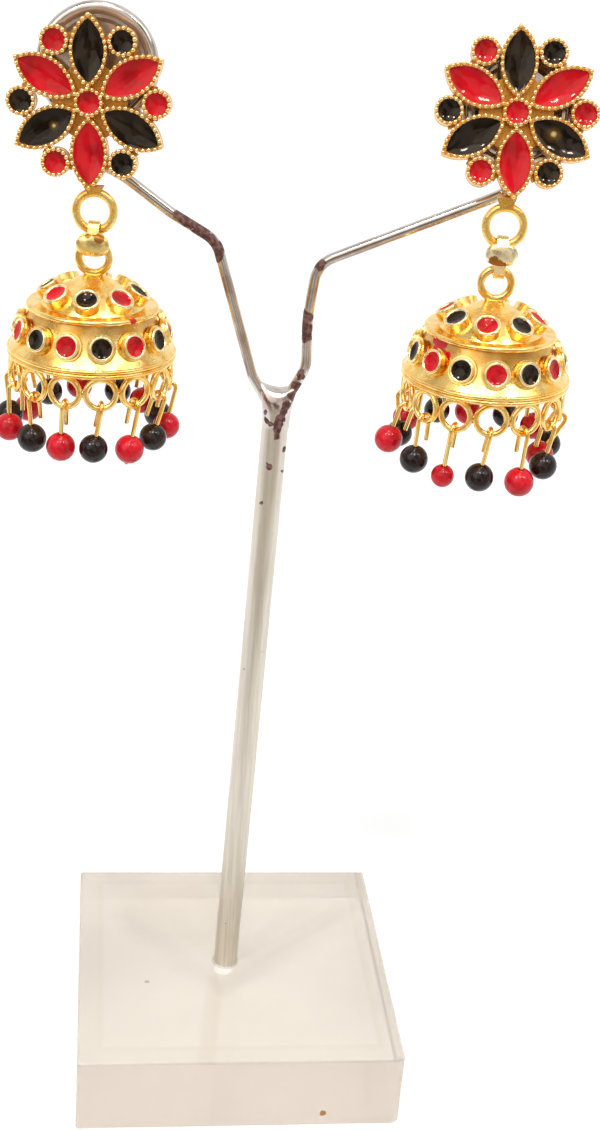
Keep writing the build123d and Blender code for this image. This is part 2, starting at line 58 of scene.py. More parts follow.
class Sock:
    """A shader socket. Sums written on it become Math nodes."""

    def __init__(self, tree, socket=None):
        self.tree = tree
        self.socket = socket

    def node(self, kind, settings, sockets, output=0):
        """Any node: its settings first, then the values or links of its sockets."""
        made = self.tree.nodes.new(kind)
        for name, value in settings.items():
            setattr(made, name, value)
        for name, value in sockets.items():
            if isinstance(value, Sock):
                self.tree.links.new(value.socket, made.inputs[name])
            else:
                made.inputs[name].default_value = value
        return Sock(self.tree, made.outputs[output])

    def maths(self, operation, first, second=0.0):
        """A Math node."""
        return self.node("ShaderNodeMath", {"operation": operation}, {0: first, 1: second})

    def vector(self, operation, first, second, output="Vector"):
        """A Vector Math node."""
        settings = {"operation": operation}
        return self.node("ShaderNodeVectorMath", settings, {0: first, 1: second}, output)

    def here(self):
        """The place of each point of the surface, in metres."""
        return self.node("ShaderNodeTexCoord", {}, {}, "Object")

    def along(self, axis):
        """One axis of this vector."""
        return self.node("ShaderNodeSeparateXYZ", {}, {"Vector": self}, axis)

    def most(self, marks):
        """The highest of several sockets: where any of these marks lies."""
        whole = marks[0]
        for mark in marks[1:]:
            whole = self.maths("MAXIMUM", whole, mark)
        return whole

    def __add__(self, other):
        return self.maths("ADD", self, other)

    __radd__ = __add__

    def __sub__(self, other):
        return self.maths("SUBTRACT", self, other)

    def __rsub__(self, other):
        return self.maths("SUBTRACT", other, self)

    def __mul__(self, other):
        return self.maths("MULTIPLY", self, other)

    __rmul__ = __mul__

    def above(self, edge, width):
        """0 below edge, 1 a width above it, with a soft step between."""
        return self.node(
            "ShaderNodeMapRange",
            {"interpolation_type": "SMOOTHSTEP"},
            {"Value": self, "From Min": edge, "From Max": edge + width},
        )

    def noise(self, size, stretch=(1.0, 1.0, 1.0), detail=3.0, roughness=0.5):
        """Noise on the piece's own coordinates with features about size millimetres long."""
        sockets = {
            "Vector": self.node("ShaderNodeMapping", {}, {"Vector": self.here(), "Scale": stretch}),
            "Scale": 1.0 / (size * MM),
            "Detail": detail,
            "Roughness": roughness,
        }
        return self.node("ShaderNodeTexNoise", {}, sockets)

    def mix(self, first, second):
        """From the first colour to the second as this socket goes from 0 to 1."""
        return self.node("ShaderNodeMix", {"data_type": "RGBA"}, {0: self, 6: first, 7: second}, 2)

    def band(self, spot, turn, half_width, soft):
        """1 along a level line through a spot, soft at its sides, turn degrees from X."""
        across = Vector((-math.sin(math.radians(turn)), math.cos(math.radians(turn)), 0.0))
        off = self.vector("DOT_PRODUCT", self.here(), across, "Value")
        off = off * (1.0 / MM) - Vector((*spot, 0.0)).dot(across)
        return 1.0 - self.maths("ABSOLUTE", off).above(half_width, soft)

    def near(self, spot, reach, fray=0.0, soft=0.12):
        """1 within reach millimetres of a spot, its edge soft and frayed by noise."""
        away = self.vector("DISTANCE", self.here(), Vector(spot) * MM, "Value")
        frayed = away * (1.0 / MM) + (self.noise(0.8) - 0.5) * fray
        return 1.0 - frayed.above(reach, soft * reach)


def new_finish(name, constants):
    """A material, a socket to start its sums from, and its Principled shader."""
    material = bpy.data.materials.new(name)
    material.use_nodes = True
    shader = material.node_tree.nodes["Principled BSDF"]
    for socket, value in constants.items():
        shader.inputs[socket].default_value = value
    return material, Sock(material.node_tree), shader


def feed(start, shader, varying, bump=None, depth=0.0):
    """Links what varies over the surface, and a bump whose height is depth millimetres."""
    for socket, value in varying.items():
        start.tree.links.new(value.socket, shader.inputs[socket])
    if bump is not None:
        sockets = {"Height": bump, "Distance": depth * MM}
        normal = start.node("ShaderNodeBump", {}, sockets)
        start.tree.links.new(normal.socket, shader.inputs["Normal"])


def lets_lamps_through(start, shader):
    """Clear pieces don't throw a hard shadow: rays going to a lamp pass through them."""
    is_shadow = start.node("ShaderNodeLightPath", {}, {}, "Is Shadow Ray")
    clear = start.node("ShaderNodeBsdfTransparent", {}, {"Color": (0.93, 0.92, 0.9, 1.0)})
    surface = Sock(start.tree, shader.outputs[0])
    mixed = start.node("ShaderNodeMixShader", {}, {0: is_shadow, 1: surface, 2: clear})
    output = start.tree.nodes["Material Output"]
    start.tree.links.new(mixed.socket, output.inputs["Surface"])


def dress(node, material):
    """Gives a CAD node its finish."""
    slots = frame["nodes"][node].data.materials
    slots.clear()
    slots.append(material)


BLOCK_TURN = 7.7
BLOCK_TOP = 10.0
RUSTY_FLECK = (12.9, -18.4, 2.0)
DUST_SPOT = (-10.6, -5.9, BLOCK_TOP)
FOOT = (-0.95, -0.25)
CLEAR_WARM = (0.715, 0.69, 0.635, 1.0)
CLEAR_CLOUDED = (0.675, 0.645, 0.59, 1.0)
# Painted light: the side faces' own tone, paler and pinker than the top's
PAINTED_SIDE_TONE = (0.79, 0.715, 0.645, 1.0)
# Painted refraction of the sides, as lines that run round the top: how far out each begins, and its
# width
INNER_LINE = (16.6, 0.5)
OUTER_LINE = (17.2, 0.8)


def make_acrylic():
    """Clear acrylic. Painted on its top: edge lines for refraction, patches and streaks of painted
    shade, and the socket; its sides have a painted tone.
    """
    look = {"Transmission Weight": 0.6, "IOR": 1.49, "Specular IOR Level": 0.5}
    material, start, shader = new_finish("cast_acrylic", look)
    cloud = start.noise(9.0, detail=2.0)
    scratch = start.noise(1.6, stretch=(0.12, 1.0, 1.0), detail=4.0)
    fleck = start.near(RUSTY_FLECK, 0.42, 0.5)
    dust = start.near(DUST_SPOT, 0.3, 0.4)
    turned_back = {"Vector": start.here(), "Rotation": (0.0, 0.0, math.radians(-BLOCK_TURN))}
    square = start.node("ShaderNodeMapping", {}, turned_back)
    sides = [start.maths("ABSOLUTE", square.along(axis)) * (1.0 / MM) for axis in "XY"]
    out = start.most(sides)
    top = start.node("ShaderNodeNewGeometry", {}, {}, "Normal").along("Z").above(0.3, 0.4)
    foot_x, foot_y = FOOT
    # Painted refraction of the sides: a darker border inside the top's edges, fainter at the very
    # edge
    rim = out.above(*INNER_LINE) * (1.0 - 0.55 * out.above(*OUTER_LINE))
    # Painted shadow: a soft grey patch near the top's back left corner
    corner = start.near((-8.5, 9.0, BLOCK_TOP), 4.5, 2.0, 1.2)
    # Painted shade: a darker strip in front of the rod's foot, running front to back
    below = start.band((foot_x - 0.9, foot_y), 90.0, 0.55, 1.0)
    below = below * (1.0 - start.near((0.0, 5.0, BLOCK_TOP), 8.5))
    # Painted shade: a darker diagonal streak on the top, to the right of the rod
    painted_streak = start.band((foot_x + 1.0, foot_y - 2.0), 47.0, 0.7, 1.3)
    painted_streak = painted_streak * start.near((8.0, 5.5, BLOCK_TOP), 7.5, 2.0, 0.5)
    socket = start.near((foot_x - 0.15, foot_y - 1.9, BLOCK_TOP), 0.75, 0.5, 0.9)
    ring = start.near((foot_x, foot_y, BLOCK_TOP), 1.62)
    body = cloud.mix(CLEAR_WARM, CLEAR_CLOUDED)
    for mark, strength, tone in (
        (rim, 0.6, (0.66, 0.61, 0.55, 1.0)),
        (corner, 0.75, (0.62, 0.575, 0.52, 1.0)),
        (below, 0.5, (0.64, 0.585, 0.52, 1.0)),
        (painted_streak, 0.4, (0.62, 0.57, 0.52, 1.0)),
        (socket, 0.8, (0.98, 0.97, 0.95, 1.0)),
        (ring, 0.75, (0.42, 0.37, 0.31, 1.0)),
    ):
        body = (mark * strength).mix(body, tone)
    # Painted light: the side faces take their own tone, the top keeps its marks
    body = top.mix(PAINTED_SIDE_TONE, body)
    body = fleck.mix(body, (0.30, 0.12, 0.02, 1.0))
    body = dust.mix(body, (0.35, 0.31, 0.24, 1.0))
    rough = 0.07 + scratch.above(0.55, 0.2) * 0.12 + fleck * 0.5
    feed(start, shader, {"Base Color": body, "Roughness": rough}, scratch, 0.004)
    lets_lamps_through(start, shader)
    return material


dress("acrylic_base", make_acrylic())


def add_piece(name, points, faces, material, body):
    """One new mesh in the shared frame, from points in millimetres, riding on a body."""
    mesh = bpy.data.meshes.new(name)
    mesh.from_pydata([Vector(point) * MM for point in points], [], faces)
    mesh.validate()
    for polygon in mesh.polygons:
        polygon.use_smooth = True
    mesh.materials.append(material)
    piece = bpy.data.objects.new(name, mesh)
    bpy.context.scene.collection.objects.link(piece)
    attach(piece, body)
    return piece


def skin(rows, steps):
    """Faces between rows of points, each row closed on itself and steps points long."""
    faces = []
    for row in range(rows - 1):
        for step in range(steps):
            after = (step + 1) % steps
            low = row * steps
            high = low + steps
            faces.append((low + step, low + after, high + after, high + step))
    return faces


def cap(row, steps):
    """One face across a row."""
    return tuple(range(row * steps, (row + 1) * steps))


def revolved(profile, place, steps):
    """Points and faces of a profile of (radius, height) pairs turned about a place's Z."""
    points = []
    for radius, height in profile:
        for step in range(steps):
            turn = 2 * math.pi * step / steps
            across, deep = radius * math.cos(turn), radius * math.sin(turn)
            points.append(place @ Vector((across, deep, height)))
    return points, skin(len(profile), steps)


ROD_TOP = Vector((0.8, 0.0, 87.4))
# The glue's skin, from the lip round the rod down into the hole: radius, then height
GLUE_PROFILE = ((1.515, 0.1), (1.56, 0.02), (1.565, -2.0), (1.565, -4.9), (1.52, -4.95))


def make_socket_glue():
    """Whitened glue that fills the gap round the rod in its hole."""
    material, start, shader = new_finish("whitened_glue", {"Specular IOR Level": 0.4})
    speckle = start.noise(0.5)
    white = speckle.mix((0.93, 0.91, 0.88, 1.0), (0.82, 0.79, 0.75, 1.0))
    feed(start, shader, {"Base Color": white, "Roughness": 0.45 + speckle * 0.3}, speckle, 0.02)
    foot = Vector((*FOOT, BLOCK_TOP))
    along_rod = (ROD_TOP - foot).to_track_quat("Z", "Y").to_matrix().to_4x4()
    points, faces = revolved(GLUE_PROFILE, Matrix.Translation(foot) @ along_rod, 48)
    add_piece("socket_glue", points, faces, material, "root")


make_socket_glue()

# ------------------------------------------------------------------ rod, arms and discs
# A steel rod with two wire arms soldered into its top, each ending in a dished disc
# with a rolled rim. All of it is chromed, and the chrome has flaked to rust in places.

# Where the chrome has flaked: each spot's place, and how far the rust reaches
RUST_SPOTS = (
    (-10.8, -0.5, 108.0, 0.8),
    (-9.8, -0.5, 107.3, 0.8),
    (-8.6, -0.5, 106.3, 0.9),
    (-7.6, -0.4, 105.3, 0.8),
    (-7.0, -0.5, 104.4, 1.0),
    (-6.9, -0.5, 103.8, 0.8),
    (4.4, -0.5, 103.6, 0.6),
    (3.2, -0.5, 97.6, 0.9),
    (3.3, -0.5, 96.4, 0.9),
    (3.5, -0.5, 95.6, 0.7),
    (3.3, -0.5, 90.9, 0.55),
    (2.9, -0.5, 89.6, 0.6),
    (2.5, -1.0, 88.6, 0.66),
    (2.0, -1.5, 87.6, 0.66),
    (1.7, -1.6, 86.8, 0.62),
    (1.4, -1.7, 86.0, 0.6),
    (1.2, -1.7, 85.3, 0.56),
    (1.05, -1.6, 84.6, 0.48),
    (1.0, -1.6, 83.9, 0.36),
    (-0.7, -1.3, 86.5, 0.42),
    (-0.5, -1.4, 85.6, 0.45),
    (0.2, -1.7, 85.3, 0.3),
    (2.2, -0.9, 82.0, 0.45),
    (0.4, -1.5, 80.2, 0.4),
    (-0.2, -1.5, 75.6, 0.35),
    (2.1, -0.8, 79.4, 0.3),
)

CHROME_BRIGHT = (0.66, 0.62, 0.59, 1.0)
CHROME_TARNISHED = (0.50, 0.42, 0.37, 1.0)
SATIN_DARK = (0.63, 0.58, 0.50, 1.0)
SATIN_PALE = (0.71, 0.66, 0.57, 1.0)
RUST_DARK = (0.085, 0.028, 0.022, 1.0)
RUST_PALE = (0.24, 0.12, 0.095, 1.0)
SATIN_TOP = 84.0
# Painted reflection: the gold flower's colour in the left dish, where it reaches
DISH_REFLECTED_GOLD = (0.74, 0.59, 0.44, 1.0)
DISH_MIDDLE = (-20.2, 0.4, 123.3)
DISH_REACH = 5.3


def make_chrome():
    """Chrome: satin on the rod, bright on the arms, a painted reflection of the gold flower in the
    left disc, rust in spots.
    """
    material, start, shader = new_finish("flaked_chrome", {"Specular IOR Level": 0.5})
    drawn = start.noise(0.35, stretch=(1.0, 1.0, 0.04), detail=4.0)
    cloud = start.noise(3.0)
    pits = start.noise(0.5, detail=4.0)
    rust = [pits.above(0.70, 0.05) * cloud.above(0.52, 0.1)]
    rust = start.most(rust + [start.near(spot, reach, 1.1) for *spot, reach in RUST_SPOTS])
    bright = cloud.above(0.42, 0.3).mix(CHROME_BRIGHT, CHROME_TARNISHED)
    height = start.here().along("Z") * (1.0 / MM)
    satin = 1.0 - height.above(SATIN_TOP, 2.0)
    bright = satin.mix(bright, drawn.above(0.4, 0.2).mix(SATIN_DARK, SATIN_PALE))
    # Painted reflection: the left dish is browner, rougher and less metallic where the gold flower
    # shows in it
    dish_reflection = start.near(DISH_MIDDLE, DISH_REACH, 0.0, 0.05) * 0.5
    bright = dish_reflection.mix(bright, DISH_REFLECTED_GOLD)
    brown = pits.above(0.4, 0.25).mix(RUST_DARK, RUST_PALE)
    varying = {
        "Base Color": rust.mix(bright, brown),
        "Metallic": (1.0 - rust * 0.85) * (1.0 - dish_reflection * 0.8),
        "Roughness": 0.12 + drawn * 0.14 + satin * 0.2 + rust * 0.35,
    }
    feed(start, shader, varying, drawn * 0.25 + rust * (0.4 - pits), 0.03)
    return material


chrome = make_chrome()
dress("stand_frame", chrome)

# The solder begins as a round foot where the arms part. It grows wider and deeper on its
# way up, thins again over its last part, and its top is hollow
FORK = Vector((0.8, 0.0, 84.6))
FORK_HEIGHT = 4.35
FORK_HOLLOW = 0.16
FORK_FOOT = 1.56
FORK_SPREAD = 0.75
FORK_SWELL = 0.22
FORK_THINS = 0.6


def add_fork_solder():
    """Solder run between the feet of the two arms, hollow along its top."""
    steps = 40
    rings = [(step / 12, 1.0) for step in range(13)]
    rings += [(1.0, share) for share in (0.85, 0.6, 0.3, 0.05)]
    points = []
    for level, share in rings:
        half_width = FORK_FOOT + FORK_SPREAD * level**2
        half_depth = FORK_FOOT + FORK_SWELL * min(2 * level, 1.0)
        thinned = max(0.0, (level - FORK_THINS) / (1.0 - FORK_THINS))
        half_depth *= math.sqrt(1.0 - 0.75 * thinned**2)
        for step in range(steps):
            turn = 2 * math.pi * step / steps
            across = half_width * share * math.cos(turn)
            deep = half_depth * share * math.sin(turn)
            height = level * (FORK_HEIGHT + FORK_HOLLOW * across**2)
            points.append(FORK + Vector((across, deep, height)))
    faces = skin(len(rings), steps) + [cap(len(rings) - 1, steps)]
    add_piece("fork_solder", points, faces, chrome, "root")


add_fork_solder()

# ------------------------------------------------------------------ flower settings
# Each flower is a stamped brass web with cups soldered on it, a neck, a ring and an
# ear post, plated bright yellow. The plate is thin, and shade is painted in brown down in the web
# and under the grains.


def make_gold(name, hues, polish, grain, depth, brushed=(1.0, 1.0, 1.0), shade=None):
    """Yellow plate: hues from bright to a brown for rubbed spots and for the marks that shade adds,
    painted shade on cups and bells, stains on links. Polish is its roughness, grain in millimetres.
    """
    material, start, shader = new_finish(name, {"Metallic": 1.0, "Specular IOR Level": 0.5})
    bright, warm, worn_and_shaded = hues
    cloud = start.noise(1.8)
    fine = start.noise(grain, stretch=brushed, detail=4.0, roughness=0.6)
    dents = start.noise(0.9, detail=2.0)
    colour = cloud.above(0.42, 0.25).mix(bright, warm)
    wear_and_shade = fine.above(0.6, 0.14) * dents.above(0.5, 0.15)
    if shade is not None:
        wear_and_shade = start.most([wear_and_shade, shade(start)])
    colour = wear_and_shade.mix(colour, worn_and_shaded)
    varying = {
        "Base Color": colour,
        "Roughness": polish + fine * 0.14 + wear_and_shade * 0.16,
    }
    feed(start, shader, varying, fine * 0.55 + dents, depth)
    return material


SIDES = ("left", "right")
# From bright through warm to brown; on the bells the brown is also the painted shade under the lip
YELLOW = ((1.0, 0.73, 0.27, 1.0), (0.97, 0.55, 0.11, 1.0), (0.46, 0.18, 0.025, 1.0))
# The cups' third, brown hue is for rubbed spots and for the painted shade in the web and under the
# grains
CUP_HUES = (YELLOW[0], YELLOW[1], (0.66, 0.33, 0.07, 1.0))
# How far over the cups' backs the painted shade is measured from, and how far round it reaches
CUP_MIDDLE = 1.5
FLOWER_REACH = 8.9

# How each flower hangs: degrees it is rolled and leans back, and how far in front of and
# above the back of the middle cup the middle stone's box is centred
Hang = namedtuple("Hang", "roll tilt front above")
HANGS = {"left": Hang(2.7, 8.0, 1.472, 0.196), "right": Hang(2.7, 18.0, 1.358, 0.436)}


def flower_place(side):
    """The back of the middle cup: X to the right, Y up, Z to the front."""
    hang = HANGS[side]
    low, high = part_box(f"{side}_centre_stone")
    back = (low + high) / (2 * MM) + Vector((0.0, hang.front, -hang.above))
    upright = Matrix.Rotation(math.radians(90.0), 4, "X")
    rolled = Matrix.Rotation(math.radians(hang.roll), 4, "Z")
    leaning = Matrix.Rotation(math.radians(-hang.tilt), 4, "X")
    return Matrix.Translation(back) @ upright @ rolled @ leaning


def make_setting_gold(side):
    """Cup gold, with painted shade in brown under the grains and from the cups' walls back to the
    web.
    """
    place = flower_place(side)
    middle = place @ Vector((0.0, 0.0, CUP_MIDDLE))
    front = place.col[2].to_3d()

    def web_shade(start):
        forward = start.vector("DOT_PRODUCT", start.here(), front, "Value")
        depth = middle.dot(front) - forward * (1.0 / MM)
        # Painted shade: brown on the cups' edges under the grains, and deeper back towards the web
        edge = 1.0 - depth.above(-0.38, 0.05)
        return start.most([edge, depth.above(-0.15, 0.9)]) * start.near(middle, FLOWER_REACH)

    return make_gold(f"{side}_cup_gold", CUP_HUES, 0.18, 0.22, 0.06, shade=web_shade)


for side in SIDES:
    dress(f"{side}_flower_setting", make_setting_gold(side))

# ------------------------------------------------------------------ beaded cup edges
# A row of tiny gold grains is rolled into the edge of every cup on the flowers. The
# grains are half a millimetre across and stand a little apart from each other.

GRAIN_RADIUS = 0.255
GRAIN_PITCH = 0.62
ROUND_PITCH = GRAIN_PITCH * 0.92
GRAIN_JOG = 0.03
# How high a cup's edge is over its back, how far out from the middle the petals and the
# rounds sit, and the edge's half length and half width on a petal, and radius on a round
CUP_EDGE = 1.95
PETAL_RING = 5.15
ROUND_RING = 7.05
PETAL_EDGE = (3.5, 1.79)
ROUND_EDGE = 1.33
GRAIN_HUES = ((1.0, 0.74, 0.38, 1.0), (0.96, 0.56, 0.19, 1.0), (0.66, 0.32, 0.07, 1.0))
grain_gold = make_gold("grain_gold", GRAIN_HUES, 0.09, 0.3, 0.012)


def pointed_oval(half_length, half_width, pitch):
    """Points a pitch apart round a pointed oval that is long along X."""
    radius = (half_length**2 + half_width**2) / (2 * half_width)
    half_angle = math.asin(half_length / radius)
    count = round(2 * half_angle * radius / pitch)
    side = []
    for step in range(count):
        angle = half_angle * (1 - 2 * step / count)
        side.append((radius * math.sin(angle), radius * math.cos(angle) - radius + half_width))
    return side + [(-x, -y) for x, y in side]


def circle(radius, pitch):
    """Points about a pitch apart round a circle."""
    count = round(2 * math.pi * radius / pitch)
    turns = [2 * math.pi * step / count for step in range(count)]
    return [(radius * math.cos(turn), radius * math.sin(turn)) for turn in turns]


def stone_places(side):
    """Each flower stone's name with its cup's back: X outward, Z to the front."""
    middle = flower_place(side)
    places = {f"{side}_centre_stone": middle}
    for kind, ring, first in (("petal", PETAL_RING, 90.0), ("round", ROUND_RING, 60.0)):
        for number in range(6):
            turn = Matrix.Rotation(math.radians(first + 60.0 * number), 4, "Z")
            place = middle @ turn @ Matrix.Translation((ring, 0.0, 0.0))
            places[f"{side}_{kind}_stone_{number + 1}"] = place
    return places


def ball(place, radius, steps=14):
    """Points and faces of a round grain."""
    rows = steps // 2
    profile = []
    for row in range(rows + 1):
        angle = math.pi * row / rows
        profile.append((max(radius * math.sin(angle), 1e-4), -radius * math.cos(angle)))
    return revolved(profile, place, steps)


def joined(parts):
    """Several lots of points and faces as one."""
    points = []
    faces = []
    for more_points, more_faces in parts:
        base = len(points)
        points += more_points
        faces += [tuple(base + corner for corner in face) for face in more_faces]
    return points, faces


def add_grains(side):
    """The grains round every cup of one flower, no two quite the same."""
    chance = random.Random(side)
    grains = []
    for name, place in stone_places(side).items():
        if "petal" in name:
            edge = pointed_oval(*PETAL_EDGE, GRAIN_PITCH)
        else:
            edge = circle(ROUND_EDGE, ROUND_PITCH)
        for x, y in edge:
            radius = GRAIN_RADIUS * chance.uniform(0.93, 1.06)
            x += chance.uniform(-GRAIN_JOG, GRAIN_JOG)
            y += chance.uniform(-GRAIN_JOG, GRAIN_JOG)
            spot = place @ Vector((x, y, CUP_EDGE))
            grains.append(ball(Matrix.Translation(spot), radius))
    points, faces = joined(grains)
    add_piece(f"{side}_edge_grains", points, faces, grain_gold, "root")


for side in SIDES:
    add_grains(side)

# ------------------------------------------------------------------ enamel in the flowers
# Red and black enamel is poured into the cups and dries to a glossy dish, drawn up at
# its edge. Two black petals have a gold-brown flaw under the surface.

# How high the enamel's foot and its edge are over the cup's back, the size of its face
# in a petal and in a round, and how far each face dips in the middle
ENAMEL_FOOT = 0.95
ENAMEL_EDGE = 1.82
PETAL_FACE = (3.15, 1.6)
PETAL_DIP = 0.42
ROUND_FACE = 1.14
ROUND_DIP = 0.3
FACE_PITCH = 0.16
# How far out each ring of a hollow face lies, as a share of its outline
HOLLOW_SHARES = (0.99, 0.965, 0.93, 0.88, 0.82, 0.74, 0.64, 0.52, 0.38, 0.22, 0.08)
ENAMEL_RED = (0.66, 0.006, 0.016, 1.0)
ENAMEL_DEEP_RED = (0.40, 0.006, 0.010, 1.0)
ENAMEL_BLACK = (0.007, 0.004, 0.003, 1.0)
ENAMEL_BROWN = (0.026, 0.015, 0.007, 1.0)
FLAW_HALO = (0.16, 0.085, 0.02, 1.0)
FLAW_MIDDLE = (0.70, 0.46, 0.17, 1.0)
# The two flawed petals: where the flaw lies in the cup, and how far it reaches
FLAWS = {
    "left_petal_stone_3": ((-0.75, 0.3, 1.5), 0.252),
    "right_petal_stone_5": ((-0.75, 0.15, 1.5), 0.42),
}


def make_enamel(name, first, second, flaw=None):
    """Glossy enamel clouded from the first colour to the second, with or without a flaw."""
    look = {"IOR": 1.5, "Specular IOR Level": 0.32, "Specular Tint": (1.0, 0.86, 0.7, 1.0)}
    material, start, shader = new_finish(name, look)
    cloud = start.noise(2.2, detail=2.0)
    ripple = start.noise(1.3, detail=1.0)
    colour = cloud.above(0.42, 0.3).mix(first, second)
    if flaw is not None:
        spot, reach = flaw
        halo = start.near(spot, 0.6 * reach, 0.4, 3.5)
        colour = (halo * 0.6).mix(colour, FLAW_HALO)
        colour = start.near(spot, 0.25 * reach, 0.3, 3.0).mix(colour, FLAW_MIDDLE)
    varying = {"Base Color": colour, "Roughness": 0.04 + cloud * 0.07}
    feed(start, shader, varying, ripple, 0.05)
    return material


enamel = {
    "red": make_enamel("red_enamel", ENAMEL_RED, ENAMEL_DEEP_RED),
    "black": make_enamel("black_enamel", ENAMEL_BLACK, ENAMEL_BROWN),
}


def dish(outline, place, foot, edge, dip):
    """A flat-backed stone over an outline: straight sides, then a hollow top."""
    rings = [(0.6, foot), (1.0, foot), (1.0, edge)]
    rings += [(share, edge - dip * (1 - share**2)) for share in HOLLOW_SHARES]
    points = []
    for share, level in rings:
        points += [place @ Vector((x * share, y * share, level)) for x, y in outline]
    count = len(outline)
    faces = skin(len(rings), count)
    return points, faces + [cap(0, count)[::-1], cap(len(rings) - 1, count)]


def add_flower_stones(side):
    """The enamel in every cup of one flower, red and black by turns round a red middle."""
    for name, place in stone_places(side).items():
        number = int(name[-1]) if name[-1].isdigit() else 0
        colour = "red" if number % 2 == 0 else "black"
        material = enamel[colour]
        if "petal" in name:
            outline = pointed_oval(*PETAL_FACE, FACE_PITCH)
            dip = PETAL_DIP
        else:
            outline = circle(ROUND_FACE, FACE_PITCH)
            dip = ROUND_DIP
        if name in FLAWS:
            spot, reach = FLAWS[name]
            flaw = (place @ Vector(spot), reach)
            flawed = f"{side}_flawed_black_enamel"
            material = make_enamel(flawed, ENAMEL_BLACK, ENAMEL_BROWN, flaw)
        points, faces = dish(outline, place, ENAMEL_FOOT, ENAMEL_EDGE, dip)
        piece = add_piece(f"{name}_enamel", points, faces, material, "root")
        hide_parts(name)


for side in SIDES:
    add_flower_stones(side)

# ------------------------------------------------------------------ push-backs
# A plain turned nut with a flange slides on each ear post behind the disc and clamps
# the flower to the stand. It is nickel-plated and hardly handled.

NICKEL_PALE = (0.66, 0.62, 0.56, 1.0)
NICKEL_DULL = (0.50, 0.46, 0.41, 1.0)


def make_nut_metal():
    """Nickel with fine rings left by the turning tool."""
    material, start, shader = new_finish("nut_nickel", {"Metallic": 1.0})
    turned = start.noise(0.12, stretch=(0.1, 1.0, 0.1), detail=3.0)
    cloud = start.noise(1.2)
    grey = cloud.mix(NICKEL_PALE, NICKEL_DULL)
    feed(start, shader, {"Base Color": grey, "Roughness": 0.2 + turned * 0.15}, turned, 0.01)
    return material


nut_metal = make_nut_metal()
for side in SIDES:
    dress(f"{side}_push_back", nut_metal)

# ------------------------------------------------------------------ strip links
# A soft brass strip is bent through the flower's ring and the bell's eye and pressed
# shut. It is plated with them, and brown shows where the strip's ends meet.

BROWNED = (0.36, 0.16, 0.035, 1.0)
# The right link's paler, cream hues are a painted highlight on the same plating
LINK_HUES = {
    "left": ((1.0, 0.80, 0.33, 1.0), (1.0, 0.66, 0.17, 1.0), BROWNED),
    "right": ((1.0, 0.90, 0.60, 1.0), (1.0, 0.80, 0.40, 1.0), BROWNED),
}
# Where each pressed plate sits under the link's upper pivot and in front of it, its half
# width and half height, and its brown spots: across, up and how far each reaches
Plate = namedtuple("Plate", "down front wide high browned")
LEFT_BROWN = ((-0.45, 1.1, 0.3), (0.7, 0.85, 0.5), (0.2, 1.1, 0.25))
RIGHT_BROWN = ((-0.75, -0.6, 0.5), (-0.25, -0.85, 0.45), (0.3, -0.95, 0.3))
PLATES = {
    "left": Plate(1.35, 1.2, 1.78, 1.2, LEFT_BROWN),
    "right": Plate(0.75, 1.2, 1.72, 1.22, RIGHT_BROWN),
}
# The plate's bulge from its flat back to its front: share of the outline, way forward
PLATE_BULGE = (
    (0.7, 0.0),
    (0.97, 0.0),
    (1.0, 0.08),
    (0.97, 0.2),
    (0.88, 0.33),
    (0.74, 0.43),
    (0.5, 0.52),
    (0.25, 0.56),
    (0.04, 0.57),
)
PLATE_FULLNESS = 0.8


def pivot_of(name):
    """Where a joint's axis lies, in millimetres."""
    for joint in frame["record"]["behaviour"]["joints"]:
        if joint["name"] == name:
            return Vector(joint["pos_m"]) / MM


def filled_out(part):
    """A sine or cosine that draws an oval a little fuller than an ellipse."""
    return math.copysign(abs(part) ** PLATE_FULLNESS, part)


def add_link_plate(side):
    """The strip's lapped ends, pressed into a bulging oval plate in front."""
    plate = PLATES[side]
    middle = pivot_of(f"{side}_link_swing") + Vector((0.0, -plate.front, -plate.down))

    def browned(start):
        spots = []
        for across, up, reach in plate.browned:
            spots.append(start.near(middle + Vector((across, -0.3, up)), reach, 0.5, 0.3))
        return start.most(spots)

    material = make_gold(f"{side}_link_gold", LINK_HUES[side], 0.2, 0.5, 0.06, shade=browned)
    dress(f"{side}_connector_link", material)
    steps = 48
    points = []
    for share, forward in PLATE_BULGE:
        for step in range(steps):
            turn = 2 * math.pi * step / steps
            across = filled_out(math.cos(turn)) * plate.wide * share
            up = filled_out(math.sin(turn)) * plate.high * share
            points.append(middle + Vector((across, -forward, up)))
    rows = len(PLATE_BULGE)
    faces = skin(rows, steps) + [cap(0, steps)[::-1], cap(rows - 1, steps)]
    add_piece(f"{side}_link_plate", points, faces, material, f"{side}_link")


for side in SIDES:
    add_link_plate(side)

# ------------------------------------------------------------------ bells
# Each bell is two spun brass tiers with a ridged rim, soldered collets and a fringe
# of wire rings. The dome is bright, and the band under its lip is brushed and grainy.

# Each tier of collets: how many, where their faces are, their lean, the stone's radius
# and the collet's, and how far round and with which colour each side begins
Tier = namedtuple("Tier", "count place height lean radius outer turns firsts")
TIERS = (
    Tier(
        count=8,
        place=4.95,
        height=7.45,
        lean=33.0,
        radius=1.06,
        outer=1.45,
        turns={"left": 0.0, "right": -10.0},
        firsts={"left": "black", "right": "red"},
    ),
    Tier(
        count=14,
        place=8.37,
        height=3.2,
        lean=72.0,
        radius=1.04,
        outer=1.36,
        turns={"left": -11.0, "right": 2.5},
        firsts={"left": "red", "right": "red"},
    ),
)
# A collet's stone over its face: the heights of its foot and its edge, and its dip
COLLET_FOOT = -0.42
COLLET_EDGE = -0.02
COLLET_DIP = 0.24
COLLET_PITCH = 0.2
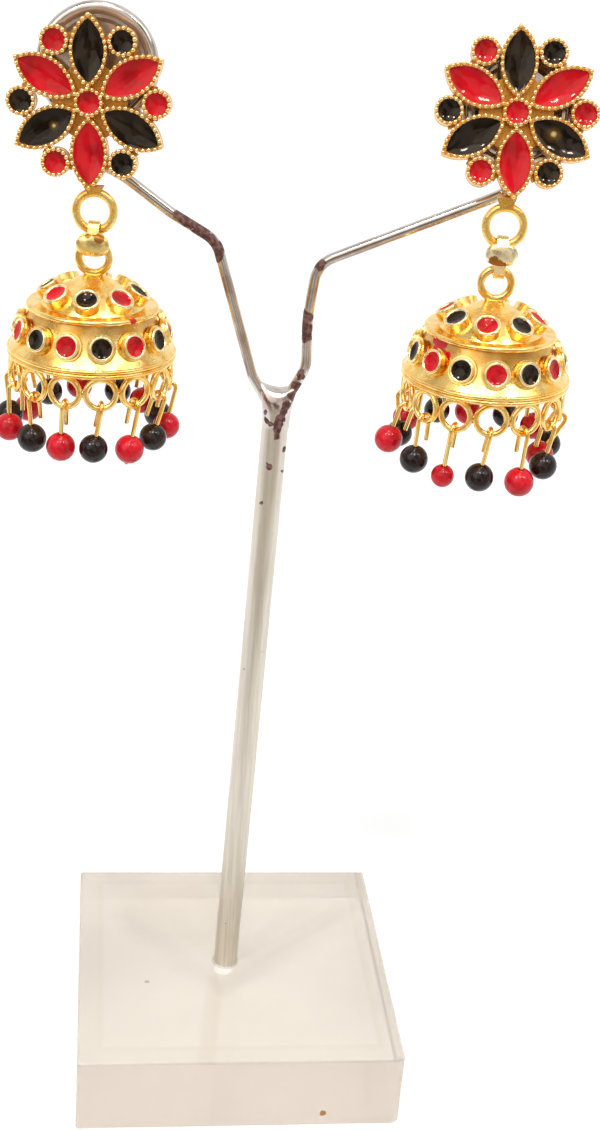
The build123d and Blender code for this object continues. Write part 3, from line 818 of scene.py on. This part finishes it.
# Paler than the bell's gold: a painted highlight on the burnished collet rims
RIM_HUES = ((1.0, 0.84, 0.48, 1.0), (1.0, 0.72, 0.30, 1.0), (0.66, 0.34, 0.08, 1.0))
# A collet's burnished rim: share of the way out from the stone, height over the face
RIM_ARCH = (
    (0.0, -0.1),
    (0.04, 0.03),
    (0.25, 0.12),
    (0.5, 0.15),
    (0.75, 0.12),
    (0.96, 0.03),
    (0.985, -0.1),
)
RIM_LAP = 0.01
rim_gold = make_gold("rim_gold", RIM_HUES, 0.12, 0.3, 0.012)
EYE_TO_RIM = 12.27

# The band is a cone under the dome's lip: the height and radius of its foot, how much
# narrower it grows for each millimetre up, and how high the lip is over the rim
BAND_FOOT = 1.02
BAND_RADIUS = 9.3
BAND_TAPER = 0.538
LIP_HEIGHT = 5.3

# Red enamel that ran over a shell: degrees round from the front, height over the rim,
# distance from the bell's axis, and how far it spread
Stain = namedtuple("Stain", "turn height out reach")
STAINS = {
    "left": (Stain(44.0, 5.6, 7.1, 0.42),),
    "right": (
        Stain(-62.0, 5.0, 6.9, 0.5),
        Stain(-55.0, 4.9, 6.95, 0.55),
        Stain(-49.0, 4.9, 6.95, 0.5),
        Stain(-57.0, 4.3, 7.25, 0.5),
        Stain(-52.0, 4.2, 7.3, 0.55),
        Stain(-46.0, 3.9, 7.45, 0.45),
        Stain(-41.0, 4.1, 7.35, 0.45),
        Stain(-43.0, 3.3, 7.8, 0.5),
    ),
}


def bell_axis(side):
    """Where the bell's axis meets the plane of its rim, under the swing of its eye."""
    return Matrix.Translation(pivot_of(f"{side}_bell_swing") - Vector((0.0, 0.0, EYE_TO_RIM)))


def round_from_front(degrees):
    """A turn about a bell's axis, with X then pointing outward."""
    return Matrix.Rotation(math.radians(degrees - 90.0), 4, "Z")


def make_bell_gold(side):
    """Bell gold, with painted shade in olive brown in the hollow of the band under the lip, and
    with the spills.
    """
    axis = bell_axis(side).to_translation()

    def lip_shade(start):
        spot = start.vector("SUBTRACT", start.here(), axis * MM)
        height = spot.along("Z") * (1.0 / MM)
        flat = start.vector("MULTIPLY", spot, (1.0, 1.0, 0.0))
        out = start.vector("DISTANCE", flat, (0.0, 0.0, 0.0), "Value") * (1.0 / MM)
        shell = BAND_RADIUS - BAND_TAPER * (height - BAND_FOOT)
        on_band = (shell - out).above(0.0, 0.15) * (1.0 - height.above(LIP_HEIGHT, 0.1))
        patchy = start.noise(3.5).above(0.3, 0.4)
        return on_band * height.above(2.6, 2.6) * (0.35 + patchy * 0.5)

    name = f"{side}_bell_gold"
    material = make_gold(name, YELLOW, 0.13, 0.16, 0.035, brushed=(0.5, 0.5, 1.0), shade=lip_shade)
    start = Sock(material.node_tree)
    shader = material.node_tree.nodes["Principled BSDF"]
    patches = []
    for stain in STAINS[side]:
        out = round_from_front(stain.turn) @ Vector((stain.out, 0.0, stain.height))
        patches.append(start.near(bell_axis(side) @ out, stain.reach, 0.35))
    spill = start.most(patches)
    bare = [shader.inputs[socket].links[0] for socket in ("Base Color", "Roughness")]
    bare_colour, bare_rough = [Sock(start.tree, link.from_socket) for link in bare]
    varying = {
        "Base Color": spill.mix(bare_colour, ENAMEL_RED),
        "Roughness": bare_rough * (1.0 - spill * 0.6),
        "Metallic": 1.0 - spill,
    }
    feed(start, shader, varying)
    return material


def add_bell_stones(side):
    """Dished enamel in every collet, the colours by turns, and the collet's burnished rim."""
    fields = {"red": [], "black": []}
    rims = []
    for tier in TIERS:
        first = tier.firsts[side]
        colours = (first, "black" if first == "red" else "red")
        for number in range(tier.count):
            turn = round_from_front(tier.turns[side] + 360.0 * number / tier.count)
            lean = Matrix.Rotation(math.radians(tier.lean), 4, "Y")
            face = Matrix.Translation((tier.place, 0.0, tier.height)) @ lean
            spot = bell_axis(side) @ turn @ face
            outline = circle(tier.radius, COLLET_PITCH)
            stone = dish(outline, spot, COLLET_FOOT, COLLET_EDGE, COLLET_DIP)
            fields[colours[number % 2]].append(stone)
            inner = tier.radius - RIM_LAP
            width = tier.outer - inner
            arch = [(inner + share * width, level) for share, level in RIM_ARCH]
            rims.append(revolved(arch, spot, 36))
    for colour, material in enamel.items():
        points, faces = joined(fields[colour])
        name = f"{side}_bell_{colour}_stones"
        slot, body = f"{colour}_enamel", f"{side}_bell"
        piece = add_piece(f"{name}_enamel", points, faces, material, body)
        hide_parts(name)
    points, faces = joined(rims)
    add_piece(f"{side}_collet_rims", points, faces, rim_gold, f"{side}_bell")


for side in SIDES:
    dress(f"{side}_bell", make_bell_gold(side))
    add_bell_stones(side)

# ------------------------------------------------------------------ drops
# Twenty-eight head pins are bent over the fringe rings, and each carries one drilled
# glass bead. The pins are thin plated wire, and the beads are dipped red or black.

wire_gold = make_gold("wire_gold", YELLOW, 0.09, 0.3, 0.012)
BEAD_RED = (0.70, 0.008, 0.022, 1.0)
BEAD_DEEP_RED = (0.46, 0.006, 0.012, 1.0)
BEAD_BLACK = (0.013, 0.006, 0.005, 1.0)
BEAD_BROWN = (0.026, 0.014, 0.010, 1.0)


def make_bead_glass(name, first, second):
    """Dipped glass, clouded from the first colour to the second and a little dimpled."""
    material, start, shader = new_finish(name, {"IOR": 1.5, "Specular IOR Level": 0.35})
    cloud = start.noise(1.6, detail=2.0)
    dimple = start.noise(0.9, detail=2.0)
    colour = cloud.above(0.4, 0.3).mix(first, second)
    feed(start, shader, {"Base Color": colour, "Roughness": 0.1 + cloud * 0.14}, dimple, 0.05)
    return material


bead_finishes = {
    "red": make_bead_glass("red_bead_glass", BEAD_RED, BEAD_DEEP_RED),
    "black": make_bead_glass("black_bead_glass", BEAD_BLACK, BEAD_BROWN),
}
for side in SIDES:
    dress(f"{side}_drop_hooks", wire_gold)
    for colour, material in bead_finishes.items():
        dress(f"{side}_{colour}_beads", material)


# The drop that the paint gathered under: degrees round from the front, where its pin
# hangs in the fringe, its swing about X and Y, and its bead's middle under the pin's bend
NUB_TURN = 40.4
NUB_RING = (8.6, 0.0, -3.34)
NUB_SWING = (-5.0, 9.5)
NUB_BEAD = (0.75, 0.0, -4.86)
BEAD_RADIUS = 1.57
# The nub's side, from the bead down to its tip: radius, then height
NUB_PROFILE = (
    (0.50, 0.17),
    (0.44, 0.02),
    (0.30, -0.10),
    (0.16, -0.24),
    (0.05, -0.32),
    (1e-4, -0.33),
)


def add_bead_nub():
    """Paint that gathered in a point under one red bead of the left bell as it dried."""
    about_x, about_y = [math.radians(degrees) for degrees in NUB_SWING]
    swing = Matrix.Rotation(about_x, 4, "X") @ Matrix.Rotation(about_y, 4, "Y")
    ring = bell_axis("left") @ round_from_front(NUB_TURN) @ Matrix.Translation(NUB_RING)
    down = Matrix.Translation(Vector(NUB_BEAD) - Vector((0.0, 0.0, BEAD_RADIUS)))
    under = ring @ swing @ down
    points, faces = revolved(NUB_PROFILE, under, 20)
    add_piece("left_bead_nub", points, faces, bead_finishes["red"], "left_bell")


add_bead_nub()

# ------------------------------------------------------------------ floor and light
# A wide white sheet lies on a table under the stand, up to its front edge. Broad suns
# stand for a ceiling light, a window and a side light, narrow ones for four bare bulbs.

RAY_KINDS = ("Camera", "Glossy", "Transmission")
SHEET_WHITE = (0.86, 0.86, 0.86, 1.0)
SHEET_GLOW = 0.2
SHEET_HALF = 6.0
SHEET_FRONT = -0.09
SHEET_GAP = 0.00002


def rays(start):
    """1 each for the camera, for mirrored rays and for rays through clear pieces."""
    return [start.node("ShaderNodeLightPath", {}, {}, f"Is {kind} Ray") for kind in RAY_KINDS]


def make_floor():
    """The sheet, a little brighter where it is seen, directly or in a piece."""
    look = {"Roughness": 0.9, "Specular IOR Level": 0.1, "Base Color": SHEET_WHITE}
    material, start, shader = new_finish("white_sheet", look)
    glow = start.node("ShaderNodeEmission", {}, {"Strength": SHEET_GLOW})
    dark = start.node("ShaderNodeEmission", {}, {"Strength": 0.0})
    lit = start.node("ShaderNodeMixShader", {}, {0: start.most(rays(start)), 1: dark, 2: glow})
    both = start.node("ShaderNodeAddShader", {}, {0: Sock(start.tree, shader.outputs[0]), 1: lit})
    start.tree.links.new(both.socket, start.tree.nodes["Material Output"].inputs["Surface"])
    mesh = bpy.data.meshes.new("sheet")
    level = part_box("acrylic_base")[0].z - SHEET_GAP
    outline = (
        (-SHEET_HALF, SHEET_FRONT, level),
        (SHEET_HALF, SHEET_FRONT, level),
        (SHEET_HALF, SHEET_HALF, level),
        (-SHEET_HALF, SHEET_HALF, level),
    )
    mesh.from_pydata(outline, [], [(0, 1, 2, 3)])
    mesh.materials.append(material)
    sheet = bpy.data.objects.new("sheet", mesh)
    bpy.context.scene.collection.objects.link(sheet)


make_floor()

# Each lamp: name, degrees round from the front, degrees up, strength, spread in degrees
LAMPS = (
    ("ceiling_lamp", -12.0, 66.0, 0.45, 34.0),
    ("front_window", -35.0, 30.0, 0.55, 50.0),
    ("side_lamp", 70.0, 45.0, 0.35, 30.0),
    ("small_lamp_left", -40.0, 53.0, 0.42, 6.0),
    ("small_lamp_middle", 3.0, 59.0, 0.42, 6.0),
    ("small_lamp_right", 46.0, 53.0, 0.38, 6.0),
    ("lamp_overhead", 0.0, 86.0, 0.30, 7.0),
)
for name, around, up, strength, spread in LAMPS:
    lamp = bpy.data.lights.new(name, "SUN")
    lamp.energy = strength
    lamp.angle = math.radians(spread)
    holder = bpy.data.objects.new(name, lamp)
    holder.rotation_euler = (math.radians(90.0 - up), 0.0, math.radians(around))
    bpy.context.scene.collection.objects.link(holder)


# The room: white behind, dark and pale things and a floor in front, and its plain level
ROOM_WHITE = (0.98, 0.98, 0.98, 1.0)
ROOM_DARK = (0.17, 0.12, 0.085, 1.0)
ROOM_PALE = (0.86, 0.81, 0.74, 1.0)
ROOM_FLOOR = (0.66, 0.60, 0.52, 1.0)
ROOM_LEVEL = (0.46, 0.46, 0.46, 1.0)
CLUTTER_SCALE = 2.6


def make_room():
    """White seen directly, a plain level on everything, and a cluttered front in metal."""
    world = bpy.data.worlds.new("room")
    bpy.context.scene.world = world
    world.use_nodes = True
    start = Sock(world.node_tree)
    direction = start.node("ShaderNodeTexCoord", {}, {}, "Generated")
    noise = {"Vector": direction, "Scale": CLUTTER_SCALE, "Detail": 2.0}
    clutter = start.node("ShaderNodeTexNoise", {}, noise)
    front = clutter.above(0.44, 0.14).mix(ROOM_DARK, ROOM_PALE)
    front = (1.0 - direction.along("Z").above(-0.5, 0.4)).mix(front, ROOM_FLOOR)
    room = direction.along("Y").above(-0.2, 0.6).mix(front, ROOM_WHITE)
    camera, mirrored, through = rays(start)
    colour = start.most([mirrored, through]).mix(ROOM_LEVEL, room)
    colour = camera.mix(colour, (1.0, 1.0, 1.0, 1.0))
    background = world.node_tree.nodes["Background"]
    world.node_tree.links.new(colour.socket, background.inputs["Color"])


make_room()

# ------------------------------------------------------------------ camera
# The camera looks down on the pair from just above the flowers, some nineteen
# centimetres in front of the stand, and it is rolled a little.

# Its place, the degrees it looks down and is rolled by, and its focal length
CAMERA_PLACE = (4.79, -186.57, 153.24)
LOOKS_DOWN = 24.68
ROLLED = 4.46
LENS = 55.75

camera_data = bpy.data.cameras.new("camera")
camera_data.sensor_width = 36.0
camera_data.lens = LENS
camera_data.clip_start = 0.01
camera = bpy.data.objects.new("camera", camera_data)
pitched = Matrix.Rotation(math.radians(90.0 - LOOKS_DOWN), 4, "X")
rolled = Matrix.Rotation(math.radians(ROLLED), 4, "Z")
camera.matrix_world = Matrix.Translation(Vector(CAMERA_PLACE) * MM) @ pitched @ rolled
bpy.context.scene.collection.objects.link(camera)
bpy.context.scene.camera = camera
bpy.context.scene.view_settings.view_transform = "Standard"
